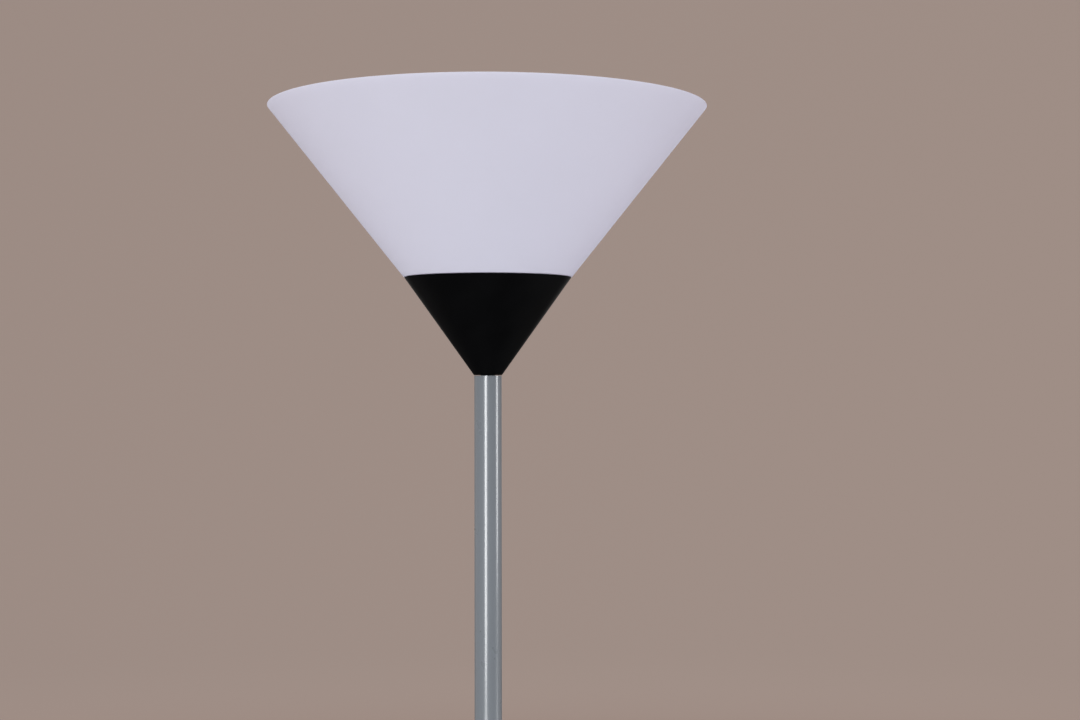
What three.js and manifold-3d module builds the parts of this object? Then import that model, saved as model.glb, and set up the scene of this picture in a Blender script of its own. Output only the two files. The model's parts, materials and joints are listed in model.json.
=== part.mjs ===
// Torchiere floor lamp: a weighted round base, a pole of four tube sections with an in-line rotary
// dimmer, and a conical cup that carries the lampholder, the bulb and an opal cone shade.
// Millimetres, +Z up. The origin is on the floor at the centre of the base, the dimmer's knob faces -Y
// and the mains inlet faces +Y.
import * as THREE from "three";
import { mergeVertices } from "three/addons/utils/BufferGeometryUtils.js";
import Module from "manifold-3d";

const wasm = await Module();
wasm.setup();

// ---- Driving dimensions ------------------------------------------------------------------------------
const HEIGHT = 1780; // floor to the shade's rim
const GAP = 0.3; // left between pieces that rest on or screw into each other

const RIM_R = 152;
const SHADE_H = 117.2; // how far the shade stands above the holder
const SHADE_FOOT_R = 58.7;
const SHADE_WALL = 2;
const SKIRT_PLAY = 0.6; // between the shade's skirt and the holder around it
const SHADE_HOLE_R = 20; // the hole in the shade's floor that the lampholder comes up through

const HOLDER_H = 68;
const HOLDER_TOP_R = 58.2;
const HOLDER_FOOT_R = 9.7;
const HOLDER_WALL = 2;
const HOLDER_FLOOR = 9;

const POLE_R = 9.5;
const POLE_WALL = 1;
const LOWER_SECTIONS = 3; // pole sections below the dimmer; one more stands above it
const INSERT_L = 18;

const THREAD_R = 5; // hollow M10 threaded tube
const THREAD_BORE = 3.3;
const LEAD_R = 2;

const BASE_R = 125;
const BASE_TOP = 30; // the seat of the pole on the base cover
const BASE_CROWN = 10; // how far the cover falls from its centre to its edge
const EDGE_FILLET = 6;
const COVER_WALL = 2;
const COVER_Z = 2.6;
const PAD_R = 116;
const PAD_T = 2;
const WEIGHT_R = 112;
const WEIGHT_TOP = 16;
const HUB_R = 26;
const HUB_TOP = 25;
const INLET_Z = 9;
const INLET_R = 4.3;

const DIMMER_Z = 1200;
const SHELL_R = 17;
const SHELL_WALL = 2.4;
const SHELL_HALF = 40;
const SHELL_END_R = 12.5;
const BOSS_R = 13;
const BOSS_FACE = 18; // distance of the dimmer's front face from the pole's axis
const KNOB_R = 11;
const KNOB_L = 14;
const SHAFT_R = 3;
const POINTER_ANGLE = THREE.MathUtils.degToRad(225); // clockwise from the top, seen from the front

const WIDE = 60; // sides of the shade, the holder and the base cover
const ROUND = 32; // sides of other turned pieces
const SMALL = 16; // sides of small ones
const TINY = 12; // sides of screws and of the holes for them

// ---- Derived sizes -----------------------------------------------------------------------------------
const SHADE_Z = HEIGHT - SHADE_H;
const HOLDER_Z = SHADE_Z - GAP - HOLDER_H;
const HOLDER_SLOPE = (HOLDER_TOP_R - HOLDER_FOOT_R) / HOLDER_H;
const HOLDER_WALL_ACROSS = HOLDER_WALL * Math.hypot(1, HOLDER_SLOPE);
const SHADE_SLOPE = (RIM_R - SHADE_FOOT_R) / SHADE_H;
const SHADE_WALL_ACROSS = SHADE_WALL * Math.hypot(1, SHADE_SLOPE);
const THREAD_HOLE = THREAD_R + GAP;
const POLE_FOOT = BASE_TOP + GAP;
const SOCKET_DEPTH = 15;
const SOCKET_R = POLE_R + GAP;
const LOWER_POLE_TOP = DIMMER_Z - SHELL_HALF + SOCKET_DEPTH - GAP;
const UPPER_POLE_FOOT = DIMMER_Z + SHELL_HALF - SOCKET_DEPTH + GAP;
const UPPER_POLE_TOP = HOLDER_Z - GAP;
const INSERT_R = POLE_R - POLE_WALL - GAP;

const holderInside = (z) => HOLDER_FOOT_R + HOLDER_SLOPE * z - HOLDER_WALL_ACROSS; // z above its foot
const coverTop = (r) => BASE_TOP - BASE_CROWN * (r / (BASE_R - EDGE_FILLET)) ** 2;

// ---- Materials ---------------------------------------------------------------------------------------
const finish = (color, roughness, metalness = 0) => ({ color, roughness, metalness });
const OPAL = finish(0xe9e7f0, 0.38);
const BLACK = finish(0x0c0c0d, 0.42);
const SILVER_PAINT = finish(0x8d9599, 0.3, 0.35);
const STEEL = finish(0xb4b6b8, 0.35, 1);
const BRASS = finish(0xc9a25a, 0.3, 1);
const CAST_IRON = finish(0x3a3a3b, 0.8, 0.6);
const FELT = finish(0x1c1c1e, 0.95);
const RUBBER = finish(0x101010, 0.7);
const WHITE_PLASTIC = finish(0xf1f1ee, 0.4);
const BOARD = finish(0x1f5b34, 0.5);
const COMPONENT = finish(0x18191b, 0.5);
const PVC = finish(0xdedede, 0.5);

// ---- Shape helpers -----------------------------------------------------------------------------------
// A solid turned about Z. The profile is a list of [radius, z] that runs anticlockwise.
function turned(profile, sides = ROUND) {
  const points = profile.map(([r, z]) => new THREE.Vector2(r, z));
  const onAxis = profile[0][0] === 0 && profile.at(-1)[0] === 0;
  if (!onAxis) points.push(points[0].clone());
  return new THREE.LatheGeometry(points, sides).rotateX(Math.PI / 2);
}

function disc(radius, z0, z1, sides = SMALL) {
  return turned([[0, z0], [radius, z0], [radius, z1], [0, z1]], sides);
}

function ring(inner, outer, z0, z1, sides = SMALL) {
  return turned([[inner, z0], [outer, z0], [outer, z1], [inner, z1]], sides);
}

function block(x, y, z) {
  const sizes = [x, y, z].map(([low, high]) => high - low);
  const centre = [x, y, z].map(([low, high]) => (low + high) / 2);
  return new THREE.BoxGeometry(...sizes).translate(...centre);
}

// Turns a shape made about Z so that its +Z points to the front, -Y.
const facingFront = (geometry) => geometry.rotateX(Math.PI / 2);
// Turns a shape made about Z so that its +Z points to the back, +Y.
const facingBack = (geometry) => geometry.rotateX(-Math.PI / 2);

function arc(centreR, centreZ, radius, fromDegrees, toDegrees, steps) {
  const angle = (i) => THREE.MathUtils.degToRad(fromDegrees + ((toDegrees - fromDegrees) * i) / steps);
  const point = (i) => [centreR + radius * Math.cos(angle(i)), centreZ + radius * Math.sin(angle(i))];
  return Array.from({ length: steps + 1 }, (_, i) => point(i));
}

function hexagonNut(acrossFlats, hole, z0, z1) {
  const outline = new THREE.Shape();
  const corner = acrossFlats / Math.sqrt(3);
  for (let i = 0; i < 6; i++) {
    const angle = (i * Math.PI) / 3;
    outline[i ? "lineTo" : "moveTo"](corner * Math.cos(angle), corner * Math.sin(angle));
  }
  outline.closePath();
  outline.holes.push(new THREE.Path().absarc(0, 0, hole, 0, 2 * Math.PI, true));
  const options = { depth: z1 - z0, bevelEnabled: false, curveSegments: SMALL / 2 };
  return new THREE.ExtrudeGeometry(outline, options).translate(0, 0, z0);
}

function cableAlong(curve, steps) {
  const section = new THREE.Shape().absarc(0, 0, LEAD_R, 0, 2 * Math.PI);
  const options = { extrudePath: curve, steps, curveSegments: 4, bevelEnabled: false };
  return new THREE.ExtrudeGeometry(section, options);
}

// ---- Joining and cutting -----------------------------------------------------------------------------
function toSolid(geometry) {
  const bare = geometry.clone();
  bare.deleteAttribute("normal");
  bare.deleteAttribute("uv");
  const merged = mergeVertices(bare, 1e-4);
  const vertProperties = new Float32Array(merged.attributes.position.array);
  const triVerts = new Uint32Array(merged.index.array);
  return new wasm.Manifold(new wasm.Mesh({ numProp: 3, vertProperties, triVerts }));
}

function toGeometry(solid) {
  const mesh = solid.getMesh();
  const geometry = new THREE.BufferGeometry();
  geometry.setAttribute("position", new THREE.BufferAttribute(mesh.vertProperties, 3));
  geometry.setIndex(new THREE.BufferAttribute(mesh.triVerts, 1));
  geometry.computeVertexNormals();
  return geometry;
}

const cut = (geometry, ...cutters) =>
  toGeometry(cutters.reduce((rest, cutter) => rest.subtract(toSolid(cutter)), toSolid(geometry)));
const join = (first, ...others) =>
  toGeometry(others.reduce((whole, other) => whole.add(toSolid(other)), toSolid(first)));
const keepInside = (geometry, limits) => toGeometry(toSolid(geometry).intersect(toSolid(limits)));

function add(group, name, geometry, look) {
  const mesh = new THREE.Mesh(geometry, new THREE.MeshStandardMaterial(look));
  mesh.name = name;
  group.add(mesh);
  return mesh;
}

// ---- Base --------------------------------------------------------------------------------------------
const RECESS_R = 17; // under the weight's hub, where the pole is bolted
const RECESS_TOP = 19.2;
const COVER_BOSS_R = 20; // the cover's solid middle, which rests on the weight's hub
const SEAT_R = 17; // the flat on the cover that the collar stands on
const COLLAR_R = 16.5;
const COLLAR_TOP_R = 11.4;
const COLLAR_H = 14;
const LEAD_Z = 6; // height of the lead in its channel under the weight
const BEND_R = 8; // the lead's turn from the channel up into the pole
const BLOCK_Y = [58, 76]; // the terminal block, front to back
const BLOCK_HALF = 8;

function coverGeometry() {
  const edgeR = BASE_R - EDGE_FILLET;
  const wallTop = BASE_TOP - BASE_CROWN - EDGE_FILLET;
  const crown = (drop) => [95, 65, 35].map((r) => [r, coverTop(r) - drop]);
  const profile = [
    [BASE_R - COVER_WALL, COVER_Z],
    [BASE_R, COVER_Z],
    ...arc(edgeR, wallTop, EDGE_FILLET, 0, 80, 4),
    ...crown(0),
    [SEAT_R, BASE_TOP],
    [THREAD_HOLE, BASE_TOP],
    [THREAD_HOLE, HUB_TOP + GAP],
    [COVER_BOSS_R, HUB_TOP + GAP],
    [COVER_BOSS_R, coverTop(COVER_BOSS_R) - COVER_WALL],
    ...crown(COVER_WALL).reverse(),
    ...arc(edgeR, wallTop, EDGE_FILLET - COVER_WALL, 80, 0, 2),
  ];
  const inletHole = facingBack(disc(INLET_R, BASE_R - 10, BASE_R + 5)).translate(0, 0, INLET_Z);
  return cut(turned(profile, WIDE), inletHole);
}

function weightGeometry() {
  const profile = [
    [RECESS_R, PAD_T + GAP],
    [WEIGHT_R, PAD_T + GAP],
    [WEIGHT_R - 1, WEIGHT_TOP - 1.5],
    [WEIGHT_R - 3, WEIGHT_TOP],
    [HUB_R + 4, WEIGHT_TOP],
    [HUB_R, WEIGHT_TOP + 3],
    [HUB_R - 1, HUB_TOP],
    [THREAD_HOLE, HUB_TOP],
    [THREAD_HOLE, RECESS_TOP],
    [RECESS_R, RECESS_TOP],
  ];
  const channel = block([-LEAD_R - 2, LEAD_R + 2], [RECESS_R - 3, WEIGHT_R + 1], [0, INLET_Z + 3]);
  const room = 2;
  const pocketX = [-BLOCK_HALF - room, BLOCK_HALF + room];
  const pocket = block(pocketX, [BLOCK_Y[0] - room, BLOCK_Y[1] + room], [0, WEIGHT_TOP - 1.8]);
  return cut(turned(profile), channel, pocket);
}

function inletGrommetGeometry() {
  const flangeR = INLET_R + 1.9;
  const bore = INLET_R - 1.3;
  const profile = [
    [bore, BASE_R - 4],
    [flangeR, BASE_R - 4],
    [flangeR, BASE_R - COVER_WALL - 2 * GAP],
    [INLET_R - GAP, BASE_R - COVER_WALL - 2 * GAP],
    [INLET_R - GAP, BASE_R + GAP],
    [flangeR, BASE_R + GAP],
    [flangeR - 1.2, BASE_R + 2],
    [bore, BASE_R + 2],
  ];
  return facingBack(turned(profile, SMALL)).translate(0, 0, INLET_Z);
}

function terminalBlockGeometry() {
  const [front, back] = BLOCK_Y;
  const body = block([-BLOCK_HALF, BLOCK_HALF], [front, back], [PAD_T + 2 * GAP, WEIGHT_TOP - 3]);
  const wells = [-1, 1].flatMap((side) =>
    [front + 4.5, back - 4.5].map((y) =>
      disc(2, WEIGHT_TOP - 8, WEIGHT_TOP).translate((side * BLOCK_HALF) / 2, y, 0)),
  );
  return cut(body, ...wells);
}

function collarGeometry() {
  const top = POLE_FOOT + COLLAR_H;
  const profile = [
    [SOCKET_R, POLE_FOOT],
    [COLLAR_R, POLE_FOOT],
    [COLLAR_R, POLE_FOOT + 2.5],
    [COLLAR_TOP_R + 1, top - 1],
    [COLLAR_TOP_R, top],
    [SOCKET_R, top],
  ];
  return turned(profile);
}

function buildBase() {
  const group = new THREE.Group();
  const washerZ = RECESS_TOP - GAP - 1.2;
  const nutZ = washerZ - GAP - 4;
  add(group, "base_pad", disc(PAD_R, 0, PAD_T, ROUND), FELT);
  add(group, "base_weight", weightGeometry(), CAST_IRON);
  add(group, "base_cover", coverGeometry(), BLACK);
  add(group, "base_inlet_grommet", inletGrommetGeometry(), RUBBER);
  add(group, "base_washer", ring(THREAD_HOLE, 14, washerZ, RECESS_TOP - GAP), STEEL);
  add(group, "base_nut", hexagonNut(17, THREAD_HOLE, nutZ, washerZ - GAP), STEEL);
  add(group, "base_stud", ring(THREAD_BORE, THREAD_R, nutZ - 0.5, POLE_FOOT + INSERT_L - 2), STEEL);
  add(group, "base_terminal_block", terminalBlockGeometry(), WHITE_PLASTIC);
  for (const [i, side] of [-1, 1].entries()) {
    const screw = disc(1.6, WEIGHT_TOP - 7.7, WEIGHT_TOP - 4, TINY);
    screw.translate((side * BLOCK_HALF) / 2, BLOCK_Y[0] + 4.5, 0);
    add(group, `base_terminal_screw_${i + 1}`, screw, BRASS);
  }
  add(group, "base_collar", collarGeometry(), BLACK);
  return group;
}

// ---- Pole --------------------------------------------------------------------------------------------
const tubeSection = (z0, z1) => ring(POLE_R - POLE_WALL, POLE_R, z0, z1, ROUND);

const socketInsert = (z0, z1) => ring(THREAD_HOLE, INSERT_R, z0, z1);

// An insert with a threaded spigot that points down into the socket of the section below.
function spigotInsert(seam) {
  const profile = [
    [THREAD_BORE, seam - INSERT_L + 4],
    [THREAD_R, seam - INSERT_L + 4],
    [THREAD_R, seam + GAP],
    [INSERT_R, seam + GAP],
    [INSERT_R, seam + INSERT_L],
    [THREAD_BORE, seam + INSERT_L],
  ];
  return turned(profile, SMALL);
}

function buildPole() {
  const group = new THREE.Group();
  const length = (LOWER_POLE_TOP - POLE_FOOT) / LOWER_SECTIONS;
  add(group, "pole_foot_insert", socketInsert(POLE_FOOT + GAP, POLE_FOOT + INSERT_L), STEEL);
  for (let i = 0; i < LOWER_SECTIONS; i++) {
    const foot = POLE_FOOT + i * length;
    const isLast = i === LOWER_SECTIONS - 1;
    const top = foot + length - (isLast ? 0 : GAP);
    add(group, `pole_section_${i + 1}`, tubeSection(foot, top), SILVER_PAINT);
    if (isLast) continue;
    add(group, `pole_socket_${i + 1}`, socketInsert(top - INSERT_L, top - GAP), STEEL);
    add(group, `pole_spigot_${i + 1}`, spigotInsert(top + GAP), STEEL);
  }
  const topName = `pole_section_${LOWER_SECTIONS + 1}`;
  add(group, topName, tubeSection(UPPER_POLE_FOOT, UPPER_POLE_TOP), SILVER_PAINT);
  add(group, "pole_top_socket", socketInsert(UPPER_POLE_TOP - INSERT_L, UPPER_POLE_TOP - GAP), STEEL);
  return group;
}

// ---- Dimmer, modelled about its own centre on the pole's axis ----------------------------------------
const CAVITY_R = SHELL_R - SHELL_WALL;
const CAVITY_HALF = 21;
const CABLE_HOLE_R = 5;
const BUSH_R = 4.5;
const CAN_R = 8;
const SCREW_X = 12.2;
const SCREW_Z = 29;
const SHELL_SCREWS = [[-1, -1], [1, -1], [-1, 1], [1, 1]].map(([side, up]) => [SCREW_X * side, SCREW_Z * up]);
const SCREW_SEAT = 6; // how far behind the split the screws' heads sit
const SCREW_R = 1.4;
const SCREW_HEAD_R = 2.4;
const BOARD_FRONT = -7.9;
const BOARD_BACK = -6.3;
const TERMINAL_INNER = 8;
const TERMINAL_OUTER = 17;

function shellBody() {
  const socket = SHELL_HALF - SOCKET_DEPTH;
  const half = [
    [SHELL_R, SHELL_HALF - 10],
    [SHELL_R - 1.2, SHELL_HALF - 6],
    [SHELL_END_R, SHELL_HALF],
    [SOCKET_R, SHELL_HALF],
    [SOCKET_R, socket],
    [CABLE_HOLE_R, socket],
    [CABLE_HOLE_R, CAVITY_HALF],
    [CAVITY_R, CAVITY_HALF],
  ];
  const mirrored = half.map(([r, z]) => [r, -z]).reverse();
  const boss = facingFront(disc(BOSS_R, 4, BOSS_FACE, ROUND));
  const bossRoom = facingFront(disc(BOSS_R - SHELL_WALL, 0, BOSS_FACE - SHELL_WALL, ROUND));
  const bushHole = facingFront(disc(BUSH_R + GAP, BOSS_FACE - 5, BOSS_FACE + 5));
  const cavity = disc(CAVITY_R, -CAVITY_HALF, CAVITY_HALF, ROUND);
  const housing = join(turned([...half, ...mirrored]), cut(boss, cavity));
  const drilled = (radius, from) =>
    SHELL_SCREWS.map(([x, z]) => facingBack(disc(radius, from, SHELL_R + 3, TINY)).translate(x, 0, z));
  const screwHoles = drilled(SCREW_R + GAP, -7);
  const headHoles = drilled(SCREW_HEAD_R + GAP, SCREW_SEAT);
  return cut(housing, bossRoom, bushHole, ...screwHoles, ...headHoles);
}

// The half of the shell on one side of the split: -1 is the front, 1 the back.
function shellHalf(side) {
  const wide = SHELL_HALF + 5;
  const reach = [(side * GAP) / 2, side * wide].sort((a, b) => a - b);
  return keepInside(shellBody(), block([-wide, wide], reach, [-wide, wide]));
}

function shellScrew([x, z]) {
  const seat = SCREW_SEAT + GAP;
  const profile = [
    [0, -6.5],
    [SCREW_R - 0.3, -6.5],
    [SCREW_R, -5.5],
    [SCREW_R, seat],
    [SCREW_HEAD_R, seat],
    [SCREW_HEAD_R, seat + 1.2],
    [SCREW_HEAD_R - 0.9, seat + 2.1],
    [0, seat + 2.1],
  ];
  const slot = block([-0.4, 0.4], [-4, 4], [seat + 1.3, seat + 4]);
  return facingBack(cut(turned(profile, TINY), slot)).translate(x, 0, z);
}

// The potentiometer: a round can with the threaded bush that its shaft turns in.
function potentiometer() {
  const canBack = -BOARD_FRONT + GAP;
  const canFront = BOSS_FACE - SHELL_WALL - GAP;
  const bore = SHAFT_R + GAP;
  const profile = [
    [0, canBack],
    [CAN_R, canBack],
    [CAN_R, canFront],
    [BUSH_R, canFront],
    [BUSH_R, BOSS_FACE + 4],
    [bore, BOSS_FACE + 4],
    [bore, canBack + 1.2],
    [0, canBack + 1.2],
  ];
  return facingFront(turned(profile, SMALL));
}

// A round bar with one flat, as seen from its end; the flat faces up at rest.
function flattedBar(radius, flat, from, to) {
  const limits = block([-radius - 1, radius + 1], [-radius - 1, flat], [from - 1, to + 1]);
  return facingFront(keepInside(disc(radius, from, to), limits));
}

const KNOB_BACK = BOSS_FACE + 2 * GAP;
const KNOB_FRONT = KNOB_BACK + KNOB_L;
const KNOB_ROOM = KNOB_BACK + 4.2; // the hollow at the knob's back clears the nut and the bush
const KNOB_ROOM_R = 8.2;
const FLUTES = 20;
const FLUTE_DEPTH = 0.7;
const SHAFT_FLAT = 1.8;
const POINTER = { from: 2.5, to: 8, half: 0.6, depth: 0.6 };

function knobGeometry() {
  const steps = FLUTES * 6;
  const outline = new THREE.Shape();
  for (let i = 0; i < steps; i++) {
    const angle = (i / steps) * 2 * Math.PI;
    const radius = KNOB_R - (FLUTE_DEPTH * (1 - Math.cos(FLUTES * angle))) / 2;
    outline[i ? "lineTo" : "moveTo"](radius * Math.cos(angle), radius * Math.sin(angle));
  }
  outline.closePath();
  const grip = new THREE.ExtrudeGeometry(outline, { depth: KNOB_L, bevelEnabled: false });
  grip.translate(0, 0, KNOB_BACK);
  const envelope = [
    [0, KNOB_BACK],
    [KNOB_R, KNOB_BACK],
    [KNOB_R, KNOB_FRONT - 1.6],
    [KNOB_R - 1.4, KNOB_FRONT - 0.3],
    [KNOB_R - 2.4, KNOB_FRONT],
    [0, KNOB_FRONT],
  ];
  const hollow = disc(KNOB_ROOM_R, KNOB_BACK - 1, KNOB_ROOM);
  const knob = facingFront(cut(keepInside(grip, turned(envelope)), hollow));
  const bore = flattedBar(SHAFT_R + GAP, SHAFT_FLAT + GAP, KNOB_ROOM - 1, KNOB_FRONT - 2.7);
  return cut(knob, bore, pointerBlock(GAP));
}

// The pointer let into the knob's face, or with extra room all round, the recess that it lies in.
function pointerBlock(room) {
  const { from, to, half, depth } = POINTER;
  const across = [-half - room, half + room];
  const inwards = [-KNOB_FRONT - room, depth + room - KNOB_FRONT];
  return block(across, inwards, [from - room, to + room]).rotateY(POINTER_ANGLE);
}

function buildDimmer() {
  const group = new THREE.Group();
  group.position.z = DIMMER_Z;
  add(group, "dimmer_shell_front", shellHalf(-1), BLACK);
  add(group, "dimmer_shell_back", shellHalf(1), BLACK);
  SHELL_SCREWS.forEach((place, i) => add(group, `dimmer_shell_screw_${i + 1}`, shellScrew(place), STEEL));
  add(group, "dimmer_potentiometer", potentiometer(), STEEL);
  const bushNut = hexagonNut(11, BUSH_R + GAP, BOSS_FACE + GAP, BOSS_FACE + GAP + 2);
  add(group, "dimmer_bush_nut", facingFront(bushNut), STEEL);
  const shaft = flattedBar(SHAFT_R, SHAFT_FLAT, -BOARD_FRONT + GAP + 1.5, KNOB_FRONT - 3);
  add(group, "dimmer_shaft", shaft, STEEL);
  add(group, "dimmer_knob", knobGeometry(), BLACK);
  add(group, "dimmer_knob_pointer", pointerBlock(0), WHITE_PLASTIC);
  const partsY = [BOARD_BACK + GAP, 3];
  add(group, "dimmer_board", block([-10, 10], [BOARD_FRONT, BOARD_BACK], [-18, 18]), BOARD);
  const lowTerminal = block([-5.5, 5.5], partsY, [-TERMINAL_OUTER, -TERMINAL_INNER]);
  const highTerminal = block([-5.5, 5.5], partsY, [TERMINAL_INNER, TERMINAL_OUTER]);
  add(group, "dimmer_terminal_in", lowTerminal, WHITE_PLASTIC);
  add(group, "dimmer_terminal_out", highTerminal, WHITE_PLASTIC);
  add(group, "dimmer_triac", block([-9, -0.5], [BOARD_BACK + GAP, -1.5], [-5, 6]), COMPONENT);
  add(group, "dimmer_capacitor", block([1.5, 9], [BOARD_BACK + GAP, 0], [-5.5, 5.5]), COMPONENT);
  return group;
}

// ---- Head, modelled about the holder's foot on the pole's axis ---------------------------------------
const WASHER_Z = HOLDER_FLOOR + GAP;
const CAP_Z = WASHER_Z + 1 + GAP + 3 + GAP; // over the washer and the nut
const CAP_TOP = CAP_Z + 18;
const SOCKET_R_OUT = 22; // the lampholder below its shoulder
const SOCKET_THREAD_R = 19; // and above it, where the shade ring screws on
const SOCKET_WALL = 2.2;
const SOCKET_TOP = CAP_TOP + 38;
const CORE_TOP = CAP_TOP + 12;
const SEAT_Z = CORE_TOP + GAP + 2; // the shoulder that the shade's floor rests on
const SHADE_FLOOR_Z = SEAT_Z + GAP;
const SHADE_FLOOR_T = 2;
const TIP_Z = CORE_TOP + 2.2; // the underside of the bulb's centre contact
const CAP_SHELL_R = 13.1;
const SCREW_BORE = CAP_SHELL_R + 1.5;
const SCREW_PITCH = 3.629; // of the bulb's E27 thread
const BULB_R = 30;

function holderGeometry() {
  const profile = [
    [THREAD_HOLE, 0],
    [HOLDER_FOOT_R - 0.4, 0],
    [HOLDER_FOOT_R + 0.2, 0.5],
    [HOLDER_TOP_R, HOLDER_H],
    [HOLDER_TOP_R - HOLDER_WALL_ACROSS, HOLDER_H],
    [holderInside(HOLDER_FLOOR), HOLDER_FLOOR],
    [THREAD_HOLE, HOLDER_FLOOR],
  ];
  return turned(profile, WIDE);
}

const grubScrewHole = (radius, from, to) =>
  disc(radius, from, to, TINY).rotateY(Math.PI / 2).translate(0, 0, CAP_Z + 3);

function lampholderCapGeometry() {
  const profile = [
    [THREAD_HOLE, CAP_Z],
    [9, CAP_Z],
    [10, CAP_Z + 1],
    [10.4, CAP_Z + 6],
    [SOCKET_R_OUT - 1, CAP_Z + 12],
    [SOCKET_R_OUT, CAP_Z + 13.5],
    [SOCKET_R_OUT, CAP_TOP],
    [SOCKET_R_OUT - SOCKET_WALL, CAP_TOP],
    [SOCKET_R_OUT - SOCKET_WALL, CAP_Z + 14],
    [8, CAP_Z + 8],
    [THREAD_HOLE, CAP_Z + 8],
  ];
  return cut(turned(profile), grubScrewHole(1.5, THREAD_R, 14));
}

function lampholderShellGeometry() {
  const foot = CAP_TOP + GAP;
  const wide = SOCKET_R_OUT - SOCKET_WALL;
  const profile = [
    [wide, foot],
    [SOCKET_R_OUT, foot],
    [SOCKET_R_OUT, SEAT_Z],
    [SOCKET_THREAD_R, SEAT_Z],
    [SOCKET_THREAD_R, SOCKET_TOP - 1],
    [SOCKET_THREAD_R - 1, SOCKET_TOP],
    [SCREW_BORE, SOCKET_TOP],
    [SCREW_BORE, CORE_TOP + GAP],
    [wide, CORE_TOP + GAP],
  ];
  return turned(profile);
}

function lampholderCoreGeometry() {
  const core = disc(SOCKET_R_OUT - SOCKET_WALL - GAP, CAP_TOP + GAP, CORE_TOP, ROUND);
  const wireWells = [-1, 1].map((side) => disc(2.4, CAP_TOP - 1, CAP_TOP + 7).translate(9 * side, 0, 0));
  return cut(core, ...wireWells);
}

// A strip bent to an arch, so that it springs under the bulb's tip.
function centreContactGeometry() {
  const z = CORE_TOP + GAP;
  const strip = block([-2, 2], [-5.5, 5.5], [z, TIP_Z - GAP]);
  return cut(strip, block([-3, 3], [-3.5, 3.5], [z - 1, z + 0.9]));
}

// The lampholder's metal shell, or the bulb's: a tube rolled into round ridges, one to each pitch.
function ridged(inner, crest, depth, z0, ridges) {
  const waves = [];
  const steps = 2;
  for (let i = 0; i <= ridges * steps; i++) {
    const phase = (i / steps) * 2 * Math.PI;
    waves.push([crest - (depth * (1 + Math.cos(phase))) / 2, z0 + (i / steps) * SCREW_PITCH]);
  }
  const top = waves.at(-1)[1];
  return turned([[inner, z0], ...waves, [inner, top]]);
}

function buildLampholder() {
  const group = new THREE.Group();
  const shellZ = CORE_TOP + 2 * GAP;
  add(group, "lampholder_cap", lampholderCapGeometry(), BLACK);
  add(group, "lampholder_grub_screw", grubScrewHole(1.2, THREAD_HOLE, 9.6), STEEL);
  add(group, "lampholder_core", lampholderCoreGeometry(), WHITE_PLASTIC);
  add(group, "lampholder_shell", lampholderShellGeometry(), BLACK);
  const shellR = SCREW_BORE - GAP;
  add(group, "lampholder_screw_shell", ring(shellR - 0.5, shellR, shellZ, shellZ + 20, ROUND), BRASS);
  add(group, "lampholder_centre_contact", centreContactGeometry(), BRASS);
  const sideContact = block([9.5, 13], [-2.5, 2.5], [shellZ, shellZ + 1.2]);
  add(group, "lampholder_side_contact", sideContact, BRASS);
  return group;
}

function buildBulb() {
  const group = new THREE.Group();
  group.position.z = TIP_Z;
  const ridges = 6;
  const capFoot = 5.2;
  const neck = capFoot + ridges * SCREW_PITCH + GAP;
  const waist = neck + 32;
  const waistR = BULB_R - 1;
  const top = 108;
  add(group, "bulb_tip", turned([[0, 0], [3.2, 0], [4.7, 0.8], [4.7, 1.6], [0, 1.6]], SMALL), STEEL);
  const insulator = [[0, 1.9], [4.9, 1.9], [6, 2.6], [10.8, 4.9], [0, 4.9]];
  add(group, "bulb_insulator", turned(insulator, SMALL), COMPONENT);
  add(group, "bulb_cap", ridged(0, CAP_SHELL_R, 0.9, capFoot, ridges), STEEL);
  const body = [
    [0, neck],
    [12.6, neck],
    [13.8, neck + 1.5],
    [15.5, neck + 6],
    [24.5, neck + 20],
    [waistR, waist - 2],
    [waistR, waist],
    [0, waist],
  ];
  add(group, "bulb_body", turned(body), WHITE_PLASTIC);
  const boardZ = waist + GAP;
  add(group, "bulb_led_board", disc(BULB_R - 4, boardZ, boardZ + 1.6, ROUND), WHITE_PLASTIC);
  const domeZ = top - BULB_R;
  const wall = 1.4;
  const dome = [
    [waistR - wall, boardZ],
    [waistR, boardZ],
    ...arc(0, domeZ, BULB_R, -10, 90, 5).slice(0, -1),
    [0, top],
    [0, top - wall],
    ...arc(0, domeZ, BULB_R - wall, 90, -10, 3).slice(1),
  ];
  add(group, "bulb_dome", turned(dome), OPAL);
  return group;
}

// An opal cone. Its foot sits flush on the holder, and from there a skirt goes down inside the holder to a
// floor, which rests on the lampholder's shoulder.
function shadeGeometry() {
  const foot = HOLDER_H + GAP;
  const rim = foot + SHADE_H;
  const floorTop = SHADE_FLOOR_Z + SHADE_FLOOR_T;
  const ledge = foot + SHADE_WALL;
  const lip = 0.9;
  const skirtR = (z) => holderInside(z) - SKIRT_PLAY;
  const coneInside = (z) => SHADE_FOOT_R + SHADE_SLOPE * (z - foot) - SHADE_WALL_ACROSS;
  const profile = [
    [SHADE_HOLE_R, SHADE_FLOOR_Z],
    [skirtR(SHADE_FLOOR_Z), SHADE_FLOOR_Z],
    [skirtR(foot), foot],
    [SHADE_FOOT_R - 0.3, foot],
    [SHADE_FOOT_R, foot + 0.4],
    [RIM_R, rim - lip],
    [RIM_R - 0.3, rim - 0.2],
    [RIM_R - lip, rim],
    [RIM_R - SHADE_WALL_ACROSS, rim],
    [coneInside(ledge), ledge],
    [skirtR(ledge) - SHADE_WALL_ACROSS, ledge],
    [skirtR(floorTop) - SHADE_WALL_ACROSS, floorTop],
    [SHADE_HOLE_R, floorTop],
  ];
  return turned(profile, WIDE);
}

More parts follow.
